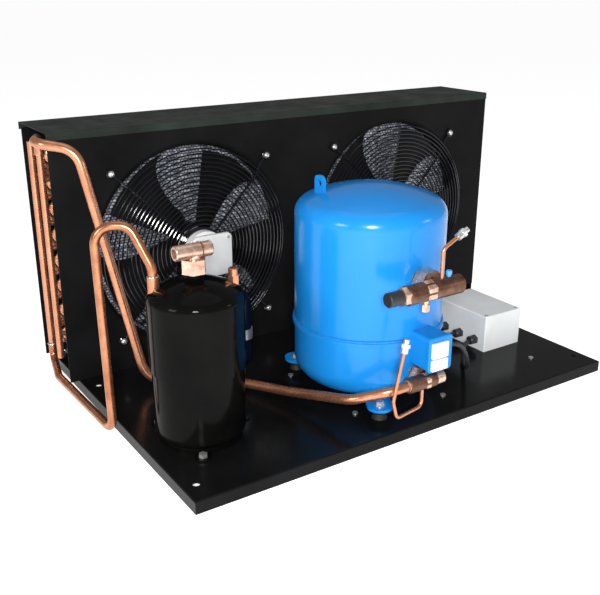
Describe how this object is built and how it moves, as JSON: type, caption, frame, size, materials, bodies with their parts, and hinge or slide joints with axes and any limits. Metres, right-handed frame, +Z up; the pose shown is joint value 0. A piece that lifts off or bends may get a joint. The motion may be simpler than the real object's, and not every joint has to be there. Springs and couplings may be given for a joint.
{
  "type": "refrigeration condensing unit",
  "caption": "Air-cooled condensing unit: hermetic compressor, upright liquid receiver and fan-cooled condenser coil on a black steel base, joined by copper pipes.",
  "frame": {"origin": "middle of the base pan's footprint, on the floor", "axes": "+X to the right seen from the compressor's side, +Y towards the coil at the back, +Z up"},
  "size_m": [1.0783, 0.6685, 0.499],
  "materials": {
    "base_black": "gloss",
    "housing_black": "satin",
    "cover_grey": "satin",
    "blue_paint": "gloss",
    "receiver_black": "gloss",
    "motor_white": "gloss",
    "fan_black": "satin",
    "guard_wire": "gloss",
    "fins": "satin",
    "galvanised": "satin",
    "zinc": "satin",
    "copper": "satin",
    "brass": "satin",
    "black_cap": "matte",
    "rubber": "matte",
    "drier_blue": "gloss",
    "box_grey": "satin",
    "gland_black": "matte",
    "cable_black": "matte"
  },
  "bodies": {
    "unit": {"base_pan": "base_black", "base_stiffeners": "base_black", "deck_screws": "zinc", "fan_panel": "housing_black", "top_cover": "cover_grey", "right_end_panel": "housing_black", "coil_channel": "galvanised", "coil_fins": "fins", "tube_sheets": "housing_black", "return_bends": "copper", "gas_header": "copper", "liquid_header": "copper", "guard_screws": "zinc", "compressor_upper_shell": "blue_paint", "compressor_lower_shell": "blue_paint", "compressor_feet": "blue_paint", "foot_grommets": "rubber", "foot_bolts": "zinc", "lifting_lug": "blue_paint", "compressor_terminal_box": "blue_paint", "compressor_terminal_cover": "blue_paint", "compressor_ports": "copper", "suction_valve_body": "brass", "suction_valve_nut": "brass", "suction_service_port": "brass", "discharge_valve_body": "brass", "discharge_valve_nut": "brass", "pressure_tap_line": "copper", "pressure_tap_fitting": "zinc", "service_line": "copper", "service_fitting": "zinc", "receiver_upper_shell": "receiver_black", "receiver_lower_shell": "receiver_black", "receiver_foot": "receiver_black", "receiver_bolts": "zinc", "receiver_valve_body": "brass", "receiver_valve_nut": "brass", "receiver_inlet": "copper", "relief_plug": "copper", "filter_drier": "drier_blue", "drier_clip": "galvanised", "hot_gas_line": "copper", "liquid_line": "copper", "junction_box": "box_grey", "junction_box_lid": "box_grey", "cable_glands": "gland_black", "spare_gland": "gland_black", "power_cables": "cable_black", "fan_motor_left": "motor_white", "fan_motor_right": "fan_black", "fan_guard_left": "guard_wire", "fan_guard_right": "guard_wire"},
    "fan_left": {"fan_rotor_left": "fan_black"},
    "fan_right": {"fan_rotor_right": "fan_black"},
    "suction_stem": {"suction_valve_stem": "zinc"},
    "suction_cap": {"suction_valve_cap": "black_cap"},
    "discharge_stem": {"discharge_valve_stem": "zinc"},
    "discharge_cap": {"discharge_valve_cap": "brass"},
    "receiver_stem": {"receiver_valve_stem": "zinc"},
    "receiver_cap": {"receiver_valve_cap": "brass"}
  },
  "joints": [
    {"name": "fan_left_spin", "type": "hinge", "parent": "unit", "child": "fan_left", "pos_m": [-0.198, 0.166, 0.25], "axis": [0, 1, 0], "continuous": true},
    {"name": "fan_right_spin", "type": "hinge", "parent": "unit", "child": "fan_right", "pos_m": [0.302, 0.166, 0.25], "axis": [0, 1, 0], "continuous": true},
    {"name": "suction_stem_turn", "type": "hinge", "parent": "unit", "child": "suction_stem", "pos_m": [-0.085, -0.325, 0.268], "axis": [1, 0, 0], "range_deg": [0, 1800]},
    {"name": "suction_cap_pull", "type": "slide", "parent": "unit", "child": "suction_cap", "axis": [-1, 0, 0], "range_m": [0, 0.035]},
    {"name": "discharge_stem_turn", "type": "hinge", "parent": "unit", "child": "discharge_stem", "pos_m": [0.027, -0.311, 0.094], "axis": [1, 0, 0], "range_deg": [0, 1800]},
    {"name": "discharge_cap_pull", "type": "slide", "parent": "unit", "child": "discharge_cap", "axis": [1, 0, 0], "range_m": [0, 0.035]},
    {"name": "receiver_stem_turn", "type": "hinge", "parent": "unit", "child": "receiver_stem", "pos_m": [-0.3325, -0.144, 0.347], "axis": [1, 0, 0], "range_deg": [0, 1800]},
    {"name": "receiver_cap_pull", "type": "slide", "parent": "unit", "child": "receiver_cap", "axis": [1, 0, 0], "range_m": [0, 0.035]}
  ]
}
